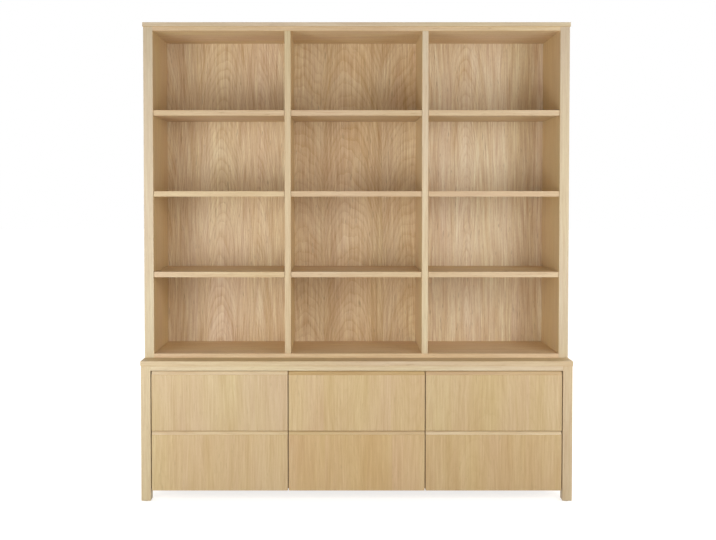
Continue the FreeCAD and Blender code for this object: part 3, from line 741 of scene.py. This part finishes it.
# %% Finish every board except the shelves
UPRIGHT = 2
ARRIS = {
    "solid_oak": 0.0010,
    "oak_veneer_board": 0.0007,
    "oak_back_panel": 0.0004,
    "oak_drawer_front": 0.0008,
    "drawer_box_wood": 0.0010,
    "zinc_plated_steel": 0.0004,
}
BANDED = ("oak_veneer_board", "oak_back_panel", "oak_drawer_front")
UPRIGHT_FINISHES = ("oak_back_panel", "oak_drawer_front")
shelf_nodes = [node for node in body_of_node if node.startswith("shelf_") and node != "shelf_pins"]
fittings = ("shelf_pins", "foot_glides")

for node, finish in finish_of_node.items():
    if node in shelf_nodes or node in fittings:
        continue
    mesh = clean_copy(node)
    ease_edges(mesh, ARRIS[finish])
    if finish != "zinc_plated_steel":
        upright = UPRIGHT if finish in UPRIGHT_FINISHES else None
        lay_grain(mesh, node, upright, finish in BANDED)
    piece = add_object(node + "_finished", mesh_data(mesh, node + "_finished"))
    even_shading(piece)
    settle(piece, finish, body_of_node[node], [node])
print("boards and steel pieces finished")

# %% [markdown]
# ## The shelves follow a grid
#
# The nine shelves are one board repeated: three columns, three rows, equal steps both ways, each
# with a slot over each of its four pins. Nine separate meshes would hide that rule. A geometry node
# tree states it: a grid of points, one board on each point, and each board's own start in the tree
# written before the copies become real. The board is one packed shelf with its arrises eased, and
# the tree's other inputs are the sizes a joiner would ask for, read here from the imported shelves.

# %% Helpers for geometry trees
GEOMETRY = ("Geometry", "NodeSocketGeometry")


def store(tree, geometry, name, kind, domain, value):
    """Write a named attribute and return the geometry."""
    fill = {"Geometry": geometry, "Name": name}
    made = put(tree, "GeometryNodeStoreNamedAttribute", fill, data_type=kind, domain=domain)
    tree.links.new(value, made.inputs["Value"])
    return made.outputs[0]


def kept_vector(tree, name):
    """A vector that was written as a named attribute."""
    fill = {"Name": name}
    return put(tree, "GeometryNodeInputNamedAttribute", fill, data_type="FLOAT_VECTOR").outputs[0]


def add_modifier(piece, name, tree, values):
    """Add a tree to a piece and set its inputs by their names, through the sockets' identifiers."""
    modifier = piece.modifiers.new(name, "NODES")
    modifier.node_group = tree
    for item in tree.interface.items_tree:
        if item.item_type == "SOCKET" and item.in_out == "INPUT" and item.name in values:
            modifier[item.identifier] = values[item.name]


def span(tree, step, count):
    """The distance from the first to the last of evenly spaced boards."""
    return times(tree, step, maths(tree, "SUBTRACT", count, 1.0))


# %% Shelf grid tree
SHELF_COLUMNS = 3
SHELF_ROWS = 3
SHELF_SEED = 5
SHELF_START = (3, 0.02, 0)
SHELF_INPUTS = [
    (*GEOMETRY, None),
    ("Columns", "NodeSocketInt", SHELF_COLUMNS),
    ("Rows", "NodeSocketInt", SHELF_ROWS),
    ("Column Step", "NodeSocketFloat", 0.58),
    ("Row Step", "NodeSocketFloat", 0.34),
    ("Middle", "NodeSocketVector", None),
    ("Board", "NodeSocketObject", None),
    ("Seed", "NodeSocketInt", SHELF_SEED),
    ("Oak", "NodeSocketMaterial", None),
]
grid_tree, given, result = new_tree("Shelf grid", "GeometryNodeTree", SHELF_INPUTS, [GEOMETRY])
fill = {
    "Size X": span(grid_tree, given["Column Step"], given["Columns"]),
    "Size Y": span(grid_tree, given["Row Step"], given["Rows"]),
    "Vertices X": given["Columns"],
    "Vertices Y": given["Rows"],
}
grid = put(grid_tree, "GeometryNodeMeshGrid", fill).outputs["Mesh"]
fill = {"Geometry": grid, "Translation": given["Middle"], "Rotation": (QUARTER_TURN, 0, 0)}
stood_up = put(grid_tree, "GeometryNodeTransform", fill).outputs[0]
shape = put(grid_tree, "GeometryNodeObjectInfo", {"Object": given["Board"]}).outputs["Geometry"]
fill = {"Points": stood_up, "Instance": shape}
boards = put(grid_tree, "GeometryNodeInstanceOnPoints", fill).outputs[0]

where = put(grid_tree, "GeometryNodeInputPosition").outputs[0]
least_start = tuple(-most for most in SHELF_START)
fill = {"Min": least_start, "Max": SHELF_START, "Seed": given["Seed"]}
start = put(grid_tree, "FunctionNodeRandomValue", fill, data_type="FLOAT_VECTOR").outputs["Value"]
fill = {"Seed": given["Seed"]}
chance = put(grid_tree, "FunctionNodeRandomValue", fill, data_type="FLOAT").outputs[1]
origin = vectors(grid_tree, "SUBTRACT", where, start)
boards = store(grid_tree, boards, "origin", "FLOAT_VECTOR", "INSTANCE", origin)
boards = store(grid_tree, boards, "board", "FLOAT", "INSTANCE", chance)
real = put(grid_tree, "GeometryNodeRealizeInstances", {0: boards}).outputs[0]
here = vectors(grid_tree, "SUBTRACT", where, kept_vector(grid_tree, "origin"))
real = store(grid_tree, real, "grain", "FLOAT_VECTOR", "POINT", here)
fill = {"Geometry": real, "Material": given["Oak"]}
painted = put(grid_tree, "GeometryNodeSetMaterial", fill).outputs[0]
grid_tree.links.new(painted, result["Geometry"])
print("shelf grid tree:", len(grid_tree.nodes), "nodes")

# %% Place the shelves
first_low, first_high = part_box("shelf_left_lower")
last_low, last_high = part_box("shelf_right_upper")
column_step = (last_low.x - first_low.x) / (SHELF_COLUMNS - 1)
row_step = (last_low.z - first_low.z) / (SHELF_ROWS - 1)

mesh = clean_copy("shelf_left_lower")
bmesh.ops.translate(mesh, verts=mesh.verts, vec=-(first_low + first_high) / 2)
ease_edges(mesh, ARRIS["oak_veneer_board"])
# Painted shade on the shelves' front faces, carried as a lift.
lift = mesh.loops.layers.float.new("lift")
for face in mesh.faces:
    for loop in face.loops:
        loop[lift] = face_lift("shelf", face.normal)
shelf_shape = bpy.data.objects.new("shelf_shape", mesh_data(mesh, "shelf_shape"))

shelves = add_object("shelves_finished", bpy.data.meshes.new("shelves_finished"))
add_modifier(shelves, "shelf grid", grid_tree, {
    "Columns": SHELF_COLUMNS,
    "Rows": SHELF_ROWS,
    "Column Step": column_step,
    "Row Step": row_step,
    "Middle": (first_low + last_high) / 2,
    "Board": shelf_shape,
    "Seed": SHELF_SEED,
    "Oak": finishes["oak_veneer_board"],
})
even_shading(shelves)
settle(shelves, "oak_veneer_board", "root", shelf_nodes)
print("shelves:", len(shelf_nodes), "steps", round(column_step, 4), round(row_step, 4))

# %% [markdown]
# ## Small fittings along rows
#
# Pins, glides and screws come in rows: two pins at each end of a shelf, four screws up a partition.
# Each shape is turned or pressed once as a small mesh, and one tree sets it along edges: an edge
# is a row, and the vector kept on its points is the way the fitting faces. The screw is the only one
# whose corners are built one by one, for its cross recess.


# %% Shapes of the fittings
HEAD_PROFILE = ((1.0, 0.0), (0.93, 0.55), (0.7, 1.0))
CROSS_LIP = 1.05
CROSS_TAPER = 0.6


def level_loop(mesh, outline, up, factor=1.0):
    """Corners at one height, on an outline made larger or smaller."""
    return [mesh.verts.new((x * factor, y * factor, up)) for x, y in outline]


def closed_shape(name, mesh, loops):
    """A pattern for copies: each loop joined to the next one, and both ends closed."""
    for lower, upper in zip(loops, loops[1:]):
        for side in range(len(lower)):
            after = (side + 1) % len(lower)
            mesh.faces.new((lower[side], lower[after], upper[after], upper[side]))
    mesh.faces.new(list(reversed(loops[0])))
    mesh.faces.new(loops[-1])
    bmesh.ops.recalc_face_normals(mesh, faces=mesh.faces)
    for face in mesh.faces:
        face.smooth = True
    for edge in mesh.edges:
        edge.smooth = edge.calc_face_angle() < SMOOTH_BELOW
    return bpy.data.objects.new(name, mesh_data(mesh, name))


def turned(name, profile, sides=16):
    """A closed shape turned about z from (radius, height) pairs, from bottom to top."""
    mesh = bmesh.new()
    angles = [2 * math.pi * side / sides for side in range(sides)]
    circle = [(math.cos(angle), math.sin(angle)) for angle in angles]
    return closed_shape(name, mesh, [level_loop(mesh, circle, up, radius) for radius, up in profile])


def screw_head(name, radius, rise, arm, arm_half, depth):
    """A low domed head with a cross recess."""
    mesh = bmesh.new()
    cross = []
    for turn in range(4):
        angle = turn * QUARTER_TURN
        for out, aside in ((arm, -arm_half), (arm, arm_half), (arm_half, arm_half)):
            x = out * math.cos(angle) - aside * math.sin(angle)
            y = out * math.sin(angle) + aside * math.cos(angle)
            cross.append((x, y))
    circle = [(x / math.hypot(x, y), y / math.hypot(x, y)) for x, y in cross]
    loops = [level_loop(mesh, circle, rise * level, radius * share) for share, level in HEAD_PROFILE]
    loops.append(level_loop(mesh, cross, rise * CROSS_LIP))
    loops.append(level_loop(mesh, cross, rise - depth, CROSS_TAPER))
    return closed_shape(name, mesh, loops)


# %% Turn the pins and glides, press the screws
PIN_RADIUS = 0.0025
PIN_REACH = 0.009
PIN_ROUND = 0.0006
PIN_SHOULDER = PIN_ROUND * 0.3
GLIDE_RADIUS = 0.012
GLIDE_FOOT = ((0.0008, 0), (0.0002, 0.0003), (0, 0.0009))

pin_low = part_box("shelf_pins")[0]
pin_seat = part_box("hutch_side_left")[1].x - pin_low.x
pin_rise = pin_low.z + PIN_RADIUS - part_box("shelf_left_lower")[0].z
pin_shape = turned("pin_shape", [
    (PIN_RADIUS, -pin_seat),
    (PIN_RADIUS, PIN_REACH - PIN_ROUND),
    (PIN_RADIUS - PIN_SHOULDER, PIN_REACH - PIN_SHOULDER),
    (PIN_RADIUS - PIN_ROUND, PIN_REACH),
])
glide_low, glide_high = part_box("foot_glides")
glide_height = glide_high.z - glide_low.z
glide_profile = [(GLIDE_RADIUS - inset, up) for inset, up in GLIDE_FOOT]
glide_profile.append((GLIDE_RADIUS, glide_height))
glide_shape = turned("glide_shape", glide_profile, sides=32)
runner_screw = screw_head("runner_screw", radius=0.0030, rise=0.0012,
                          arm=0.0017, arm_half=0.0004, depth=0.0009)
front_screw = screw_head("front_screw", radius=0.0040, rise=0.0018,
                         arm=0.0022, arm_half=0.0005, depth=0.0012)
print("pin seat", round(pin_seat, 4), "rise", round(pin_rise, 4), "glide", round(glide_height, 4))

# %% Tree that sets a fitting along rows
TURN_SEED = 3
ROW_INPUTS = [
    (*GEOMETRY, None),
    ("Count", "NodeSocketInt", 2),
    ("Fitting", "NodeSocketObject", None),
    ("Turn Seed", "NodeSocketInt", TURN_SEED),
    ("Finish", "NodeSocketMaterial", None),
]
row_tree, given, result = new_tree("Fittings along rows", "GeometryNodeTree", ROW_INPUTS, [GEOMETRY])
as_curve = put(row_tree, "GeometryNodeMeshToCurve", {0: given["Geometry"]}).outputs[0]
fill = {"Curve": as_curve, "Count": given["Count"]}
places = put(row_tree, "GeometryNodeCurveToPoints", fill).outputs["Points"]
shape = put(row_tree, "GeometryNodeObjectInfo", {"Object": given["Fitting"]}).outputs["Geometry"]

fill = {"Vector": kept_vector(row_tree, "facing")}
aimed = put(row_tree, "FunctionNodeAlignRotationToVector", fill, axis="Z").outputs[0]
fill = {2: 0.0, 3: math.pi, "Seed": given["Turn Seed"]}
angle = put(row_tree, "FunctionNodeRandomValue", fill, data_type="FLOAT").outputs[1]
fill = {"Axis": (0, 0, 1), "Angle": angle}
turned_about = put(row_tree, "FunctionNodeAxisAngleToRotation", fill).outputs[0]
fill = {0: aimed, 1: turned_about}
rotation = put(row_tree, "FunctionNodeRotateRotation", fill, rotation_space="LOCAL").outputs[0]

fill = {"Points": places, "Instance": shape, "Rotation": rotation}
copies = put(row_tree, "GeometryNodeInstanceOnPoints", fill).outputs[0]
real = put(row_tree, "GeometryNodeRealizeInstances", {0: copies}).outputs[0]
fill = {"Geometry": real, "Material": given["Finish"]}
painted = put(row_tree, "GeometryNodeSetMaterial", fill).outputs[0]
row_tree.links.new(painted, result["Geometry"])
print("tree for rows of fittings:", len(row_tree.nodes), "nodes")


def fittings_along(name, rows, fitting, finish, count, body, stands_for=()):
    """Set a fitting count times along each row, given as (start, end, facing)."""
    data = bpy.data.meshes.new(name)
    ends = [point for start, end, way in rows for point in (start, end)]
    data.from_pydata(ends, [(2 * i, 2 * i + 1) for i in range(len(rows))], [])
    facings = data.attributes.new("facing", "FLOAT_VECTOR", "POINT")
    for i, (start, end, way) in enumerate(rows):
        facings.data[2 * i].vector = way
        facings.data[2 * i + 1].vector = way
    piece = add_object(name, data)
    values = {"Count": count, "Fitting": fitting, "Turn Seed": TURN_SEED, "Finish": finishes[finish]}
    add_modifier(piece, "fittings", row_tree, values)
    settle(piece, finish, body, stands_for)
    print(name, len(rows) * count, "fittings,", len(piece.data.polygons), "faces")


# %% [markdown]
# ## Where the fittings go
#
# Pins stand out of both faces of each divider and the inner face of each side, two in the slots at
# each end of a shelf. The glides sit under the legs. Each runner is held to its drawer by three
# screws in its web, and each drawer front by four screws from inside the box. Small pan screws hold
# the thin back of the base against its partitions.

# %% Pins and glides
PIN_INSET = 0.040
BAY_PLAY = 0.001

rows = []
for node in shelf_nodes:
    low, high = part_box(node)
    front = low.y + PIN_INSET
    rear = high.y - PIN_INSET
    up = low.z + pin_rise
    for face, way in ((low.x - BAY_PLAY, 1), (high.x + BAY_PLAY, -1)):
        rows.append(((face, front, up), (face, rear, up), (way, 0, 0)))
fittings_along("shelf_pins_finished", rows, pin_shape, "zinc_plated_steel", count=2,
               body="root", stands_for=["shelf_pins"])

front = glide_low.y + GLIDE_RADIUS
rear = glide_high.y - GLIDE_RADIUS
rows = []
for across in (glide_low.x + GLIDE_RADIUS, glide_high.x - GLIDE_RADIUS):
    rows.append(((across, front, 0), (across, rear, 0), (0, 0, 1)))
fittings_along("foot_glides_finished", rows, glide_shape, "nylon", count=2,
               body="root", stands_for=["foot_glides"])

# %% Screws of the drawers
WEB_THICKNESS = 0.0012
RUNNER_SCREW_INSET = 0.05
BOX_FRONT_THICKNESS = 0.015
FRONT_SCREW_INSET = 0.09
FRONT_SCREW_HEIGHTS = (0.3, 0.75)

for node in body_of_node:
    if not node.endswith("_box"):
        continue
    drawer = node[:-len("_box")]
    low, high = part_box(node)
    runner_low, runner_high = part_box(drawer + "_runners")
    front = low.y + RUNNER_SCREW_INSET
    rear = high.y - RUNNER_SCREW_INSET
    up = (runner_low.z + runner_high.z) / 2
    rows = []
    for side, way in ((low.x - WEB_THICKNESS, -1), (high.x + WEB_THICKNESS, 1)):
        rows.append(((side, front, up), (side, rear, up), (way, 0, 0)))
    fittings_along(drawer + "_runner_screws", rows, runner_screw, "zinc_plated_steel", count=3,
                   body=drawer)
    left = low.x + FRONT_SCREW_INSET
    right = high.x - FRONT_SCREW_INSET
    inside = low.y + BOX_FRONT_THICKNESS
    rows = []
    for share in FRONT_SCREW_HEIGHTS:
        up = low.z + (high.z - low.z) * share
        rows.append(((left, inside, up), (right, inside, up), (0, 1, 0)))
    fittings_along(drawer + "_front_screws", rows, front_screw, "zinc_plated_steel", count=2,
                   body=drawer)

# %% Screws in the back of the base
BACK_SCREW_INSET = 0.05

low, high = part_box("base_back_panel")
lowest = low.z + BACK_SCREW_INSET
highest = high.z - BACK_SCREW_INSET
rows = []
for node in ("base_partition_left", "base_partition_right"):
    part_low, part_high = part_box(node)
    across = (part_low.x + part_high.x) / 2
    rows.append(((across, high.y, lowest), (across, high.y, highest), (0, 1, 0)))
fittings_along("base_back_screws", rows, front_screw, "zinc_plated_steel", count=4, body="root")

# %% [markdown]
# ## The studio
#
# The photograph is a cut-out on pure white, lit softly from the front at about the height of the
# middle shelves: ceilings of the compartments are brighter than the shelves below them, and the back
# of the top row darkens just above its shelf. One lamp straight ahead would also light the gaps
# between the drawer fronts, which are dark in the photograph. So soft lamps stand in front at both
# sides at that height, wide enough apart to leave the outer rear corners darker, and three more fill
# in from low, from high and from the middle. For the other views there is one at each end, and one
# high behind that also lights the cap from above without reaching the front.
#
# An even world fills the shadows a little. It shows white to the camera and to reflections, but
# lights with its own level. The pale floor adds white for the same rays, less of it near the
# bookcase, so that it keeps the shadow there and meets the background further away.

# %% World
WORLD_LEVEL = 0.14
WORLD_TINT = (1.0, 0.97, 0.91, 1)
WHITE = (1, 1, 1, 1)


def seen_directly(tree):
    """One where a camera, glossy or transmission ray arrives, zero for light."""
    rays = put(tree, "ShaderNodeLightPath").outputs
    shiny = maths(tree, "MAXIMUM", rays["Is Glossy Ray"], rays["Is Transmission Ray"])
    return maths(tree, "MAXIMUM", rays["Is Camera Ray"], shiny)


world = bpy.data.worlds.new("studio_world")
world.use_nodes = True
tree = world.node_tree
tree.nodes.clear()
lighting = put(tree, "ShaderNodeBackground", {"Color": WORLD_TINT, "Strength": WORLD_LEVEL})
backdrop = put(tree, "ShaderNodeBackground", {"Color": WHITE, "Strength": 1.0})
fill = {0: seen_directly(tree), 1: lighting.outputs[0], 2: backdrop.outputs[0]}
mixed = put(tree, "ShaderNodeMixShader", fill)
put(tree, "ShaderNodeOutputWorld", {"Surface": mixed.outputs[0]})
bpy.context.scene.world = world

# %% Floor
FLOOR_HALF = 30.0
FLOOR_COLOR = (0.6, 0.58, 0.55, 1)
GLOW_NEAR = 0.76
GLOW_FAR = 1.0
NEAR_RADIUS = 1.2
FAR_RADIUS = 3.5

floor_mesh = bpy.data.meshes.new("studio_floor")
corners = [(x * FLOOR_HALF, y * FLOOR_HALF, 0) for x, y in ((-1, -1), (1, -1), (1, 1), (-1, 1))]
floor_mesh.from_pydata(corners, [], [(0, 1, 2, 3)])
floor = add_object("studio_floor", floor_mesh)
floor_material, tree = new_material("studio_floor")
tree.nodes.clear()
matt = put(tree, "ShaderNodeBsdfDiffuse", {"Color": FLOOR_COLOR})
place = put(tree, "ShaderNodeTexCoord").outputs["Object"]
away = put(tree, "ShaderNodeVectorMath", {0: place}, operation="LENGTH").outputs["Value"]
glow_here = spread(tree, away, NEAR_RADIUS, FAR_RADIUS, GLOW_NEAR, GLOW_FAR, smooth=True)
glow = put(tree, "ShaderNodeEmission", {"Strength": times(tree, seen_directly(tree), glow_here)})
both = put(tree, "ShaderNodeAddShader", {0: matt.outputs[0], 1: glow.outputs[0]})
put(tree, "ShaderNodeOutputMaterial", {"Surface": both.outputs[0]})
floor_mesh.materials.append(floor_material)

# %% Lamps
LAMP_TINT = (1.0, 0.985, 0.94)
# Each lamp's name, place, aim, size and power.
LAMPS = (
    ("left_lamp", (-1.65, -1.7, 1.2), (-0.3, 0, 1.2), (1.2, 1.4), 15.3),
    ("right_lamp", (1.65, -1.7, 1.2), (0.3, 0, 1.2), (1.2, 1.4), 21.6),
    ("left_low_lamp", (-1.9, -2.4, 0.6), (0, 0, 0.9), (0.8, 0.8), 16.3),
    ("right_high_lamp", (1.9, -2.4, 2.1), (0, 0, 1.2), (0.8, 0.8), 7.4),
    ("middle_lamp", (-0.3, -2.0, 1.3), (0, 0, 1.2), (1.6, 1.4), 7.3),
    ("left_side_lamp", (-4.2, 0.6, 1.8), (0, 0, 1.0), (2.0, 2.0), 42),
    ("right_side_lamp", (4.2, 0.6, 1.8), (0, 0, 1.0), (2.0, 2.0), 42),
    ("rear_lamp", (0.8, 2.8, 4.2), (0, 0, 1.4), (4.0, 2.0), 105),
)


def soft_lamp(name, place, aim, size, power):
    """A rectangular soft lamp that points at a place."""
    data = bpy.data.lights.new(name, "AREA")
    data.shape = "RECTANGLE"
    data.size, data.size_y = size
    data.energy = power
    data.color = LAMP_TINT
    lamp = add_object(name, data)
    lamp.location = place
    lamp.rotation_euler = (Vector(aim) - Vector(place)).to_track_quat("-Z", "Y").to_euler()
    lamp.visible_camera = False


for lamp in LAMPS:
    soft_lamp(*lamp)
bpy.context.scene.view_settings.view_transform = "Standard"
